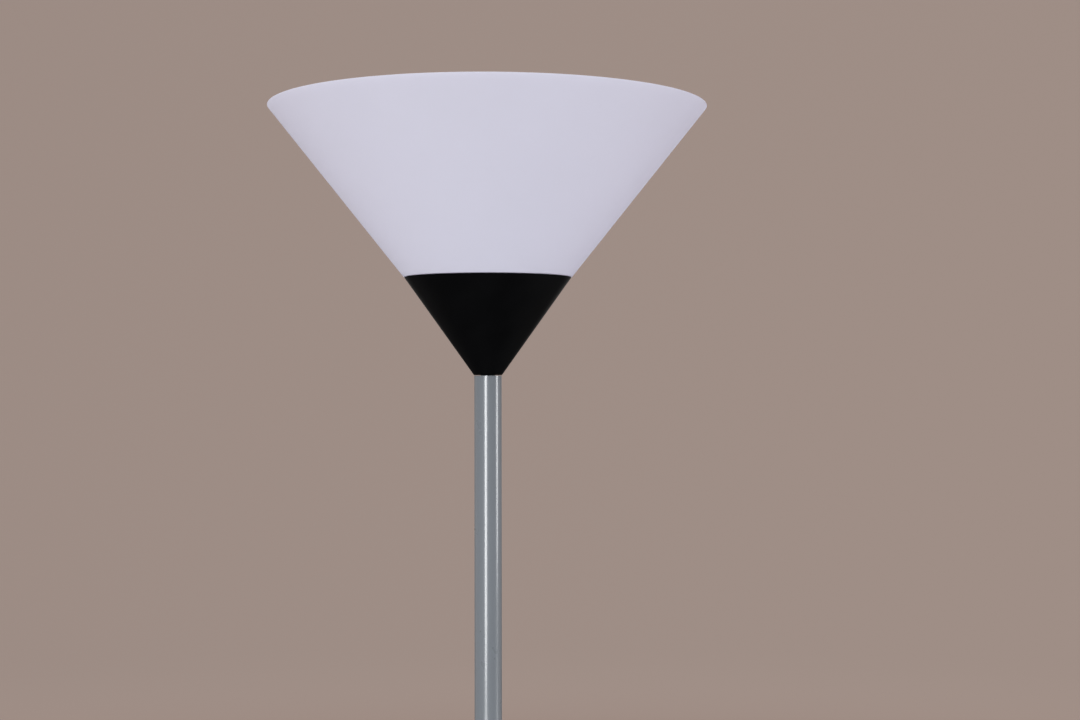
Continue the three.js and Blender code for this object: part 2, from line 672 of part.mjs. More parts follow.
function shadeRingGeometry() {
  const z = SHADE_FLOOR_Z + SHADE_FLOOR_T + GAP;
  const bore = SOCKET_THREAD_R + GAP;
  const flange = SHADE_HOLE_R + 7;
  const hub = bore + 3;
  const top = z + 9;
  return turned([[bore, z], [flange, z], [flange, z + 2], [hub, z + 3], [hub, top], [bore, top]]);
}

function buildHead() {
  const group = new THREE.Group();
  group.position.z = HOLDER_Z;
  const nutZ = WASHER_Z + 1 + GAP;
  const nipple = ring(THREAD_BORE, THREAD_R, -INSERT_L + 4, CAP_Z + 7);
  add(group, "holder_nipple", nipple, STEEL);
  add(group, "holder_cup", holderGeometry(), BLACK);
  add(group, "holder_washer", ring(THREAD_HOLE, 9, WASHER_Z, WASHER_Z + 1), STEEL);
  add(group, "holder_nut", hexagonNut(14, THREAD_HOLE, nutZ, nutZ + 3), STEEL);
  add(group, "shade", shadeGeometry(), OPAL);
  add(group, "shade_ring", shadeRingGeometry(), BLACK);
  group.add(buildLampholder(), buildBulb());
  return group;
}

// ---- Internal leads ----------------------------------------------------------------------------------
function lowerLeadGeometry() {
  const start = new THREE.Vector3(0, BLOCK_Y[0] - GAP, LEAD_Z);
  const turn = new THREE.Vector3(0, BEND_R, LEAD_Z);
  const corner = new THREE.Vector3(0, 0, LEAD_Z);
  const rise = new THREE.Vector3(0, 0, LEAD_Z + BEND_R);
  const end = new THREE.Vector3(0, 0, DIMMER_Z - TERMINAL_OUTER - GAP);
  const overlap = 0.2; // each stretch runs a little into the bend, so that the three join
  const channel = new THREE.LineCurve3(start, turn.clone().setY(BEND_R - overlap));
  const bend = new THREE.QuadraticBezierCurve3(turn, corner, rise);
  const riser = new THREE.LineCurve3(rise.clone().setZ(LEAD_Z + BEND_R - overlap), end);
  return join(cableAlong(bend, 8), cableAlong(channel, 1), cableAlong(riser, 1));
}

function buildLeads() {
  const group = new THREE.Group();
  const from = DIMMER_Z + TERMINAL_OUTER + GAP;
  add(group, "lead_lower", lowerLeadGeometry(), PVC);
  add(group, "lead_upper", disc(LEAD_R, from, HOLDER_Z + CAP_TOP, TINY), PVC);
  return group;
}

const lamp = new THREE.Group();
lamp.add(buildBase(), buildPole(), buildDimmer(), buildHead(), buildLeads());

export default lamp;
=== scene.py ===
"""Torchiere floor lamp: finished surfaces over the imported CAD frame.

Metres, +Z up, the origin on the floor under the pole. The dimmer's knob faces -Y and the mains inlet
faces +Y. Profiles are written in millimetres as (radius, height) or (radius, height, fillet).
"""

import json
import math

import bmesh
import bpy
from mathutils import Matrix, Vector

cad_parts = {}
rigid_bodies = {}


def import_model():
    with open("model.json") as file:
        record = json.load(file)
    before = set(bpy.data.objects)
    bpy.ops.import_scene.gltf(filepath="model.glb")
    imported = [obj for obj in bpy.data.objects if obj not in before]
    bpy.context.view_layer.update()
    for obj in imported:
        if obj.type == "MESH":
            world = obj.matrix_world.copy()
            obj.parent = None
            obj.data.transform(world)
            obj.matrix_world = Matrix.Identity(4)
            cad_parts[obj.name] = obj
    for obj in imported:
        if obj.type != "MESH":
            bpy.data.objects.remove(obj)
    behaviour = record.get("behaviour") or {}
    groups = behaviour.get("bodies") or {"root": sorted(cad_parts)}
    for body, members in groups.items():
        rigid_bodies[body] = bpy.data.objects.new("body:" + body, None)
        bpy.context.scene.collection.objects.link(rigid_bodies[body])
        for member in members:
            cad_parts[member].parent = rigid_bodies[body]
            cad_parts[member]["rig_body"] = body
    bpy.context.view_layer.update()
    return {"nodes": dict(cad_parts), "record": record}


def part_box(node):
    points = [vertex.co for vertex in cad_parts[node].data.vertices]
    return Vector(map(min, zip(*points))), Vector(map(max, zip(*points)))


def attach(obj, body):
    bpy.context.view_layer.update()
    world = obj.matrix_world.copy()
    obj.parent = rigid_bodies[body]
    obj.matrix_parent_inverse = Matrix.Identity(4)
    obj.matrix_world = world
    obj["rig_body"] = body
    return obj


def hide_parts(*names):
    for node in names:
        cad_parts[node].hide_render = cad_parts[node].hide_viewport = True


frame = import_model()

MM = 0.001
TURN = 2 * math.pi
GAP = 0.3  # between pieces that rest on or screw into each other

# Sides of turned pieces
WIDE = 240
RIBBED = 216  # six points to each of the lampholder's grooves
ROUND = 128
SMALL = 64
TINY = 32
FILLET_STEP = math.radians(18)
FILLET_HOLD = 0.25  # length of the lines beside a fillet, in fillet radii
ON_AXIS = 1e-6


def box_mm(node):
    """The node's lowest and highest corner, in millimetres."""
    low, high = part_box(node)
    return low / MM, high / MM


# ---- Sizes taken from the frame ----------------------------------------------------------------------
SHADE_LOW, SHADE_HIGH = box_mm("shade")
HOLDER_LOW, HOLDER_HIGH = box_mm("holder_cup")
COVER_LOW, COVER_HIGH = box_mm("base_cover")
COLLAR_LOW, COLLAR_HIGH = box_mm("base_collar")
PAD_HIGH = box_mm("base_pad")[1]
KNOB_LOW, KNOB_HIGH = box_mm("dimmer_knob")
DIMMER_LOW, DIMMER_HIGH = box_mm("dimmer_shell_back")
POLE_R = box_mm("pole_section_1")[1].x
HOLDER_Z = HOLDER_LOW.z
DIMMER_Z = (DIMMER_LOW.z + DIMMER_HIGH.z) / 2

# ---- Sizes that the boxes don't give -----------------------------------------------------------------
POLE_WALL = 1
THREAD_HOLE = 5.3
SHADE_FOOT_R = 58.7
SHADE_WALL = 2
SKIRT_PLAY = 0.6
SHADE_HOLE_R = 20
SHADE_FLOOR_T = 2
HOLDER_FOOT_R = 9.7
HOLDER_WALL = 2
HOLDER_FLOOR = 9
COVER_WALL = 2
COVER_CROWN = 10
COVER_FILLET = 6
INLET_Z = 9
INLET_R = 4.3
POLE_SECTIONS = 4
SCREW_PITCH = 3.629
POINTER_ANGLE = math.radians(225)
KNOB_FLUTES = 20
RING_RIBS = 30
SLEEVE_RIBS = 36
SLEEVE_STEP = 3  # from the lampholder's sleeve in to the crests of the shade ring's thread
SLEEVE_WALL = 2.2
SLEEVE_BORE_R = 14.6
SHOULDER_T = 2
BULB_R = 30
DOME_WALL = 1.4

FACING_FRONT = Matrix.Rotation(math.radians(90), 4, "X")  # turns +Z to -Y
FACING_BACK = Matrix.Rotation(math.radians(-90), 4, "X")  # turns +Z to +Y


# ---- Materials ---------------------------------------------------------------------------------------
class Look:
    """A Principled material whose colour, roughness and relief come from procedural nodes."""

    def __init__(self, name, **constants):
        self.material = bpy.data.materials.new(name)
        self.material.use_nodes = True
        self.tree = self.material.node_tree
        self.shader = self.tree.nodes["Principled BSDF"]
        self.output = self.tree.nodes["Material Output"]
        self.place = self.tree.nodes.new("ShaderNodeTexCoord").outputs["Object"]
        self.normal = None
        for socket, value in constants.items():
            self.shader.inputs[socket.replace("_", " ")].default_value = value

    def node(self, kind, settings=None, **sockets):
        made = self.tree.nodes.new(kind)
        for key, value in (settings or {}).items():
            setattr(made, key, value)
        for key, value in sockets.items():
            socket = made.inputs[key.replace("_", " ")]
            if isinstance(value, bpy.types.NodeSocket):
                self.tree.links.new(value, socket)
            else:
                socket.default_value = value
        return made

    def stretched(self, x=1, y=1, z=1):
        """The object's coordinates with each axis scaled, for grain that runs one way."""
        return self.node("ShaderNodeMapping", Vector=self.place, Scale=(x, y, z)).outputs["Vector"]

    def noise(self, per_metre, detail=3, vector=None, rough=0.5):
        source = vector if vector else self.place
        settings = {"Vector": source, "Scale": per_metre, "Detail": detail, "Roughness": rough}
        return self.node("ShaderNodeTexNoise", **settings).outputs["Fac"]

    def cells(self, per_metre, vector=None):
        source = vector if vector else self.place
        return self.node("ShaderNodeTexVoronoi", Vector=source, Scale=per_metre).outputs["Distance"]

    def spread(self, value, low, high, start=0.3, end=0.7):
        """The value's range start..end mapped to low..high."""
        settings = {"Value": value, "From_Min": start, "From_Max": end, "To_Min": low, "To_Max": high}
        return self.node("ShaderNodeMapRange", **settings).outputs["Result"]

    def ramp(self, value, first, second, start=0.35, end=0.65):
        """The first colour up to the value start, the second from end, and a blend between them."""
        made = self.node("ShaderNodeValToRGB", Fac=value)
        low, high = made.color_ramp.elements
        low.position, high.position = start, end
        low.color = (*first, 1)
        high.color = (*second, 1)
        return made.outputs["Color"]

    def tint(self, socket):
        self.tree.links.new(socket, self.shader.inputs["Base Color"])

    def gloss(self, socket):
        self.tree.links.new(socket, self.shader.inputs["Roughness"])

    def relief(self, height, depth_mm, strength=1.0):
        """Adds relief of this depth on top of what is there already."""
        bump = self.node("ShaderNodeBump", Height=height, Strength=strength, Distance=depth_mm * MM)
        if self.normal:
            self.tree.links.new(self.normal, bump.inputs["Normal"])
        self.normal = bump.outputs["Normal"]
        self.tree.links.new(self.normal, self.shader.inputs["Normal"])

    def mottled(self, colour, amount, per_metre):
        """Paints the colour with a soft variation of this amount."""
        darker, lighter = times(colour, 1 - amount), times(colour, 1 + amount)
        self.tint(self.ramp(self.noise(per_metre), darker, lighter))

    def glow_through(self, colour, share):
        """Lets this share of the light through, as thin opal plastic does."""
        thin = self.node("ShaderNodeBsdfTranslucent", Color=(*colour, 1))
        if self.normal:
            self.tree.links.new(self.normal, thin.inputs["Normal"])
        mix = self.node("ShaderNodeMixShader", Fac=share)
        self.tree.links.new(self.shader.outputs["BSDF"], mix.inputs[1])
        self.tree.links.new(thin.outputs["BSDF"], mix.inputs[2])
        self.tree.links.new(mix.outputs["Shader"], self.output.inputs["Surface"])


def times(colour, amount):
    return tuple(channel * amount for channel in colour)


def opal_plastic():
    colour = (0.815, 0.808, 0.878)
    look = Look("opal plastic", Specular_IOR_Level=0.5)
    look.mottled(colour, 0.008, 14)
    look.gloss(look.spread(look.noise(90), 0.38, 0.46))
    look.relief(look.noise(1100), 0.006)
    look.relief(look.noise(22), 0.05, 0.3)
    look.glow_through(colour, 0.4)
    return look


def black_plastic():
    look = Look("satin black plastic", Specular_IOR_Level=0.12)
    look.mottled((0.0021, 0.0021, 0.0024), 0.12, 60)
    look.gloss(look.spread(look.noise(45, 5), 0.35, 0.44))
    look.relief(look.cells(2400), 0.016, 0.6)
    look.relief(look.noise(30), 0.02, 0.2)
    return look


def silver_paint():
    look = Look("silver-grey lacquer", Coat_Weight=0.7, Coat_Roughness=0.17, Coat_IOR=2.2, Metallic=0.1)
    flakes = look.noise(6000, 1)
    look.tint(look.ramp(flakes, (0.196, 0.212, 0.224), (0.223, 0.240, 0.256)))
    look.gloss(look.spread(look.noise(70), 0.27, 0.35))
    look.relief(look.noise(60, 1, look.stretched(z=0.2)), 0.003, 0.4)
    return look


def steel():
    look = Look("zinc-plated steel", Metallic=1)
    look.tint(look.ramp(look.noise(120), (0.50, 0.51, 0.53), (0.62, 0.61, 0.57)))
    look.gloss(look.spread(look.noise(800), 0.26, 0.42))
    look.relief(look.noise(2600), 0.01, 0.5)
    return look


def brass():
    look = Look("rolled brass", Metallic=1)
    look.tint(look.ramp(look.noise(160), (0.62, 0.43, 0.17), (0.78, 0.58, 0.28)))
    look.gloss(look.spread(look.noise(700, vector=look.stretched(z=6)), 0.22, 0.4))
    look.relief(look.noise(1800), 0.01, 0.4)
    return look


def cast_iron():
    look = Look("cast iron", Metallic=0.6)
    look.tint(look.ramp(look.noise(70, 6), (0.032, 0.031, 0.031), (0.062, 0.058, 0.055)))
    look.gloss(look.spread(look.noise(300), 0.65, 0.9))
    look.relief(look.noise(650, 6, rough=0.65), 0.25)
    return look


def felt():
    look = Look("needled felt", Sheen_Weight=0.35, Sheen_Roughness=0.5, Specular_IOR_Level=0.1)
    fibres = look.noise(1500, 6, look.stretched(x=0.35), 0.7)
    crossing = look.noise(1500, 6, look.stretched(y=0.35), 0.7)
    look.tint(look.ramp(fibres, (0.010, 0.010, 0.011), (0.034, 0.034, 0.037)))
    look.gloss(look.spread(crossing, 0.88, 1.0))
    look.relief(fibres, 0.3)
    look.relief(crossing, 0.3)
    return look


def rubber_black():
    look = Look("matt rubber", Specular_IOR_Level=0.25)
    look.mottled((0.011, 0.011, 0.0115), 0.2, 300)
    look.gloss(look.spread(look.noise(500), 0.6, 0.78))
    look.relief(look.noise(2200), 0.02, 0.6)
    return look


def white_plastic():
    look = Look("white plastic", Specular_IOR_Level=0.45)
    look.mottled((0.80, 0.79, 0.755), 0.015, 40)
    look.gloss(look.spread(look.noise(120), 0.3, 0.4))
    look.relief(look.noise(1500), 0.006, 0.6)
    return look


def board_green():
    look = Look("circuit board")
    look.tint(look.ramp(look.cells(260), (0.012, 0.085, 0.036), (0.022, 0.14, 0.06)))
    look.gloss(look.spread(look.noise(300), 0.3, 0.45))
    look.relief(look.noise(900), 0.01, 0.6)
    return look


def component_dark():
    look = Look("moulded epoxy", Specular_IOR_Level=0.4)
    look.mottled((0.02, 0.02, 0.023), 0.2, 500)
    look.gloss(look.spread(look.noise(900), 0.42, 0.6))
    look.relief(look.noise(3000), 0.012, 0.7)
    return look


def lead_pvc():
    look = Look("soft PVC", Specular_IOR_Level=0.4)
    look.mottled((0.6, 0.6, 0.59), 0.03, 120)
    look.gloss(look.spread(look.noise(200), 0.4, 0.55))
    look.relief(look.noise(900, vector=look.stretched(z=0.2)), 0.03, 0.4)
    return look


def frosted_dome():
    colour = (0.86, 0.855, 0.83)
    look = Look("frosted bulb", Specular_IOR_Level=0.4)
    look.mottled(colour, 0.01, 60)
    look.gloss(look.spread(look.noise(400), 0.42, 0.52))
    look.relief(look.noise(2600), 0.006, 0.7)
    look.glow_through(colour, 0.35)
    return look


SLOT_LOOKS = {
    make.__name__: make()
    for make in (opal_plastic, black_plastic, silver_paint, steel, brass, cast_iron, felt, rubber_black,
                 white_plastic, board_green, component_dark, lead_pvc)
}
FROSTED = frosted_dome()
SLOT_OF = {part["node"]: part["material_slot"] for part in frame["record"]["subparts"]}


# ---- Shape helpers -----------------------------------------------------------------------------------
def rounded(corners, closed=True):
    """The profile as points. Each fillet is an arc between two short lines that hold its shading."""
    points = []
    last = len(corners) - 1
    for i, corner in enumerate(corners):
        here = Vector(corner[:2])
        if len(corner) == 2 or (not closed and i in (0, last)):
            points.append(here)
            continue
        radius = corner[2]
        to_last = (Vector(corners[i - 1][:2]) - here).normalized()
        to_next = (Vector(corners[0 if i == last else i + 1][:2]) - here).normalized()
        half = to_last.angle(to_next) / 2
        centre = here + (to_last + to_next).normalized() * (radius / math.sin(half))
        start = here + to_last * (radius / math.tan(half)) - centre
        end = here + to_next * (radius / math.tan(half)) - centre
        sweep = math.pi - 2 * half
        steps = max(2, round(sweep / FILLET_STEP))
        points.append(centre + start + to_last * radius * FILLET_HOLD)
        for k in range(steps + 1):
            t = k / steps
            arm = start * math.sin((1 - t) * sweep) + end * math.sin(t * sweep)
            points.append(centre + arm / math.sin(sweep))
        points.append(centre + end + to_next * radius * FILLET_HOLD)
    return points


def rod(radius, low, high):
    """The profile of a plain rod from one height to the other."""
    return [(0, low), (radius, low), (radius, high), (0, high)]


def wall(radius, z0, z1, step):
    """Points up or down a straight wall, close enough together for a thread or flutes."""
    count = max(1, round(abs(z1 - z0) / step))
    return [(radius, z0 + (z1 - z0) * k / count) for k in range(count + 1)]


def turned(corners, sides=ROUND, closed=True, shift=None, angles=None):
    """A solid turned about Z. shift(angle, r, z) gives the radius to use there.

    With a list of angles it turns only through those, and both ends are closed.
    """
    around = angles or [TURN * k / sides for k in range(sides)]
    bm = bmesh.new()
    rings = []
    for r, z in rounded(corners, closed):
        if r < ON_AXIS:
            rings.append([bm.verts.new((0, 0, z * MM))])
            continue
        ring = []
        for angle in around:
            reach = (shift(angle, r, z) if shift else r) * MM
            ring.append(bm.verts.new((reach * math.cos(angle), reach * math.sin(angle), z * MM)))
        rings.append(ring)
    count = len(around)
    for low, high in zip(rings, rings[1:] + (rings[:1] if closed else [])):
        for k in range(count - 1 if angles else count):
            n = (k + 1) % count
            quad = [low[k % len(low)], low[n % len(low)], high[n % len(high)], high[k % len(high)]]
            bm.faces.new(list(dict.fromkeys(quad)))
    if angles:
        bm.faces.new([ring[0] for ring in rings])
        bm.faces.new([ring[-1] for ring in reversed(rings)])
    bmesh.ops.recalc_face_normals(bm, faces=bm.faces)
    return bm


def placed(bm, matrix):
    bm.transform(matrix)
    return bm


def raised(z, matrix=None):
    """The matrix that lifts a shape by z millimetres, after turning it by the matrix."""
    return Matrix.Translation((0, 0, z * MM)) @ (matrix or Matrix.Identity(4))


def scratch(bm):
    mesh = bpy.data.meshes.new("scratch")
    bm.to_mesh(mesh)
    bm.free()
    made = bpy.data.objects.new("scratch", mesh)
    bpy.context.scene.collection.objects.link(made)
    return made


def combined(solid, other, operation):
    """The two solids after a boolean: UNION or DIFFERENCE."""
    first, second = scratch(solid), scratch(other)
    modifier = first.modifiers.new("combine", "BOOLEAN")
    modifier.operation = operation
    modifier.solver = "EXACT"
    modifier.object = second
    result = bmesh.new()
    result.from_object(first, bpy.context.evaluated_depsgraph_get())
    for used in (first, second):
        mesh = used.data
        bpy.data.objects.remove(used)
        bpy.data.meshes.remove(mesh)
    return result


def cut(solid, *cutters):
    for cutter in cutters:
        solid = combined(solid, cutter, "DIFFERENCE")
    return solid


def helix(radius, depth, pitch, z0, z1, sharpness=1.0):
    """A right-hand thread on the wall of this radius, running out at both ends."""

    def shift(angle, r, z):
        if abs(r - radius) > 0.01 or not z0 <= z <= z1:
            return r
        wave = math.sin(TURN * z / pitch - angle) * sharpness
        fade = min(1, (z - z0) / (pitch / 2), (z1 - z) / (pitch / 2))
        return r - depth * fade * (0.5 - 0.5 * max(-1, min(1, wave)))

    return shift


def ribs(radius, depth, count, z0, z1, run):
    """Grooves up the wall of this radius, fading out over run millimetres at both ends."""

    def shift(angle, r, z):
        if abs(r - radius) > 0.01 or not z0 <= z <= z1:
            return r
        fade = max(0, min(1, (z - z0) / run, (z1 - z) / run))
        return r - depth * fade * (0.5 - 0.5 * math.cos(count * angle)) ** 1.5

    return shift


def bar(width, length, depth, edge):
    """A bar with round ends, its long side up Z from 0 and its top face at y = 0, facing -Y."""
    radius = width / 2
    end_steps = 12
    outline = []
    for centre, first in ((length - radius, 0), (radius, math.pi)):
        for k in range(end_steps + 1):
            angle = first + math.pi * k / end_steps
            outline.append(Vector((radius * math.cos(angle), centre + radius * math.sin(angle))))
    bm = bmesh.new()
    levels = [(depth, 0), (edge, 0), (edge * 0.3, edge * 0.3), (0, edge)]
    rings = []
    for y, inset in levels:
        ring = []
        for point in outline:
            inward = (Vector((0, min(max(point.y, radius), length - radius))) - point).normalized()
            spot = point + inward * inset
            ring.append(bm.verts.new((spot.x * MM, y * MM, spot.y * MM)))
        rings.append(ring)
    count = len(outline)
    for low, high in zip(rings, rings[1:]):
        for k in range(count):
            n = (k + 1) % count
            bm.faces.new([low[k], low[n], high[n], high[k]])
    bm.faces.new(rings[0])
    bm.faces.new(rings[-1])
    bmesh.ops.recalc_face_normals(bm, faces=bm.faces)
    return bm


def piece(name, bm, *nodes, look=None, crease=35):
    """Puts the finished mesh in place of the CAD nodes: it rides on their body and takes their slot."""
    bmesh.ops.recalc_face_normals(bm, faces=bm.faces)
    for edge in bm.edges:
        edge.smooth = edge.calc_face_angle(0) < math.radians(crease)
    for face in bm.faces:
        face.smooth = True
    mesh = bpy.data.meshes.new(name)
    bm.to_mesh(mesh)
    bm.free()
    slot = SLOT_OF[nodes[0]]
    mesh.materials.append((look or SLOT_LOOKS[slot]).material)
    made = bpy.data.objects.new(name, mesh)
    bpy.context.scene.collection.objects.link(made)
    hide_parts(*nodes)
    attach(made, frame["nodes"][nodes[0]]["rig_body"])
    return made


# ---- Base --------------------------------------------------------------------------------------------
BASE_R = COVER_HIGH.x
BASE_TOP = COVER_HIGH.z
EDGE_R = BASE_R - COVER_FILLET
EDGE_ARC = math.radians(80)  # where the round of the edge meets the crown
EDGE_STEPS = 10
CROWN_RADII = range(115, 20, -6)
FLAT_MARGIN = 1.6  # of the flat around the collar
INLET_DRILL_IN = 10  # the inlet's drill, measured from the cover's widest place
INLET_DRILL_OUT = 5


def cover_top(r):
    return BASE_TOP - COVER_CROWN * (r / EDGE_R) ** 2


def base_shell():
    foot = COVER_LOW.z
    shoulder = BASE_TOP - COVER_CROWN - COVER_FILLET
    seat_r = COLLAR_HIGH.x + FLAT_MARGIN
    inner_r = BASE_R - COVER_WALL
    arc = [EDGE_ARC * k / EDGE_STEPS for k in range(EDGE_STEPS + 1)]
    edge = [(EDGE_R + COVER_FILLET * math.cos(a), shoulder + COVER_FILLET * math.sin(a)) for a in arc]
    crown = [(r, cover_top(r)) for r in CROWN_RADII]
    inner_crown = [(r, z - COVER_WALL) for r, z in reversed(crown)]
    profile = [
        (inner_r, foot, 0.3), (BASE_R, foot, 0.4), *edge, *crown,
        (seat_r, BASE_TOP), (THREAD_HOLE, BASE_TOP, 0.2),
        (THREAD_HOLE, BASE_TOP - COVER_WALL), *inner_crown, (inner_r, shoulder, 3),
    ]
    drill = rod(INLET_R, BASE_R - INLET_DRILL_IN, BASE_R + INLET_DRILL_OUT)
    inlet = placed(turned(drill, SMALL, closed=False), raised(INLET_Z, FACING_BACK))
    piece("base_shell", cut(turned(profile, WIDE), inlet), "base_cover")


def felt_pad():
    pad_r = PAD_HIGH.x
    pad = [(0, 0), (pad_r, 0, 0.5), (pad_r, PAD_HIGH.z, 0.5), (0, PAD_HIGH.z)]
    piece("felt_pad", turned(pad, WIDE, closed=False), "base_pad")


def inlet_grommet():
    """The grommet, its heights measured outward from the lamp's axis."""
    flange = INLET_R + 1.9
    waist = INLET_R - GAP
    bore = INLET_R - 1.3
    back = BASE_R - 4
    inside = BASE_R - COVER_WALL - 2 * GAP
    outside = BASE_R + GAP
    face = BASE_R + 2
    profile = [
        (bore, back, 0.3), (flange, back, 0.5), (flange, inside, 0.3), (waist, inside),
        (waist, outside), (flange, outside, 0.25), (flange - 1, face, 0.6), (bore, face, 0.6),
    ]
    grommet = placed(turned(profile, SMALL), raised(INLET_Z, FACING_BACK))
    piece("inlet_grommet", grommet, "base_inlet_grommet")


def pole_collar():
    bore = POLE_R + GAP
    foot, top, wide = COLLAR_LOW.z, COLLAR_HIGH.z, COLLAR_HIGH.x
    neck_r = 12.6
    mouth_r = 11.8
    collar = [
        (bore, foot, 0.3), (wide, foot, 0.5), (wide, foot + 2.5, 0.7), (wide - 1.3, foot + 3.4, 1.2),
        (neck_r, top - 1.6, 3), (mouth_r, top, 0.6), (bore, top, 0.3),
    ]
    piece("pole_collar", turned(collar), "base_collar")


# ---- Pole --------------------------------------------------------------------------------------------
def pole_tubes():
    inner = POLE_R - POLE_WALL
    for i in range(1, POLE_SECTIONS + 1):
        low, high = box_mm(f"pole_section_{i}")
        tube = [(inner, low.z, 0.2), (POLE_R, low.z, 0.3), (POLE_R, high.z, 0.3), (inner, high.z, 0.2)]
        piece(f"pole_tube_{i}", turned(tube), f"pole_section_{i}")


# ---- Dimmer, modelled about its own centre on the pole's axis ----------------------------------------
SHELL_R = DIMMER_HIGH.x
SHELL_HALF = (DIMMER_HIGH.z - DIMMER_LOW.z) / 2
SHELL_WALL = 2.4
SHELL_TAPER = 10
SHELL_END_R = 12.9
SPLIT_EASE = 0.35  # how far from the split its edges are eased, and by how much
SOCKET_DEPTH = 15
SOCKET_R = POLE_R + GAP
CABLE_HOLE_R = 5
CAVITY_R = SHELL_R - SHELL_WALL
CAVITY_HALF = 21
BOSS_R = 13
BOSS_FACE = -box_mm("dimmer_shell_front")[0].y
BOSS_ROOT = 8.2
BUSH_HOLE_R = 4.8
BUSH_DRILL = 5
SCREW_X = 12.2
SCREW_Z = 29
SCREW_PLACES = [(SCREW_X * side, SCREW_Z * up) for side, up in ((-1, -1), (1, -1), (-1, 1), (1, 1))]
SCREW_SEAT = 6
SCREW_R = 1.4
SCREW_HEAD_R = 2.4
SCREW_TIP = -6.5
SCREW_SLOT = (0.8, 3.2)  # width and length of each arm of the cross


def case_half(first, last):
    """Half of the barrel, from one angle to the other, with its edges eased along the split."""
    split = GAP / 2 / SHELL_R
    fine = [math.radians(step) for step in (0, 0.35, 0.8, 1.4, 2.2)]
    coarse = [math.radians(step) for step in range(4, 177, 2)]
    inner = [*fine, *coarse, *(math.pi - step for step in reversed(fine))]
    angles = [first + split + (last - first - 2 * split) * step / math.pi for step in inner]

    def shift(angle, r, z):
        away = abs(r * math.sin(angle)) - GAP / 2
        if r < SOCKET_R + 0.5 or away > SPLIT_EASE:
            return r
        return r - SPLIT_EASE * (1 - math.sqrt(max(0, 1 - (1 - away / SPLIT_EASE) ** 2))) * 0.8

    socket = SHELL_HALF - SOCKET_DEPTH
    upper = [
        (SHELL_R, SHELL_HALF - SHELL_TAPER, 12), (SHELL_END_R, SHELL_HALF - 0.4, 1.2),
        (SOCKET_R + 0.4, SHELL_HALF, 0.3), (SOCKET_R, SHELL_HALF - 0.8), (SOCKET_R, socket),
        (CABLE_HOLE_R, socket), (CABLE_HOLE_R, CAVITY_HALF), (CAVITY_R, CAVITY_HALF),
    ]
    lower = [(corner[0], -corner[1], *corner[2:]) for corner in reversed(upper)]
    return turned([*upper, *lower], shift=shift, angles=angles)


def dimmer_case():
    at_dimmer = raised(DIMMER_Z)
    plug = [(0, BOSS_ROOT), (BOSS_R + 0.3, BOSS_ROOT), (BOSS_R - 0.2, BOSS_FACE, 1.2), (0, BOSS_FACE)]
    room = rod(BOSS_R - SHELL_WALL, 0, BOSS_FACE - SHELL_WALL)
    bush = rod(BUSH_HOLE_R, BOSS_FACE - BUSH_DRILL, BOSS_FACE + BUSH_DRILL)
    boss = placed(turned(plug, closed=False), FACING_FRONT)
    front = combined(case_half(math.pi, TURN), boss, "UNION")
    for cutter in (room, bush):
        front = cut(front, placed(turned(cutter, SMALL, closed=False), FACING_FRONT))
    piece("dimmer_case_front", placed(front, at_dimmer), "dimmer_shell_front")
    back = case_half(0, math.pi)
    narrow, wide = SCREW_R + GAP, SCREW_HEAD_R + GAP
    start, end = -2, 20
    hole = [(0, start), (narrow, start), (narrow, SCREW_SEAT), (wide, SCREW_SEAT), (wide, end), (0, end)]
    for x, z in SCREW_PLACES:
        place = Matrix.Translation((x * MM, 0, z * MM))
        back = cut(back, placed(turned(hole, TINY, closed=False), place @ FACING_BACK))
    piece("dimmer_case_back", placed(back, at_dimmer), "dimmer_shell_back")


def dimmer_screws():
    """The screws, each turned to its own angle, as hand-driven screws end up."""
    seat = SCREW_SEAT + GAP
    width, length = SCREW_SLOT
    recess_place = Matrix.Translation((0, (seat + 1) * MM, -length / 2 * MM))
    profile = [
        (0, SCREW_TIP), (SCREW_R - 0.3, SCREW_TIP), (SCREW_R, SCREW_TIP + 1), (SCREW_R, seat),
        (SCREW_HEAD_R, seat, 0.15), (SCREW_HEAD_R, seat + 1.1, 0.4),
        (SCREW_HEAD_R - 0.8, seat + 1.9, 0.6), (0, seat + 2.1),
    ]
    for i, (x, z) in enumerate(SCREW_PLACES):
        screw = placed(turned(profile, TINY, closed=False), FACING_BACK)
        for angle in (25 * i, 25 * i + 90):
            recess = placed(bar(width, length, 3, 0.1), recess_place)
            screw = cut(screw, placed(recess, Matrix.Rotation(math.radians(angle), 4, "Y")))
        place = Matrix.Translation((x * MM, 0, (DIMMER_Z + z) * MM))
        piece(f"dimmer_case_screw_{i + 1}", placed(screw, place), f"dimmer_shell_screw_{i + 1}")


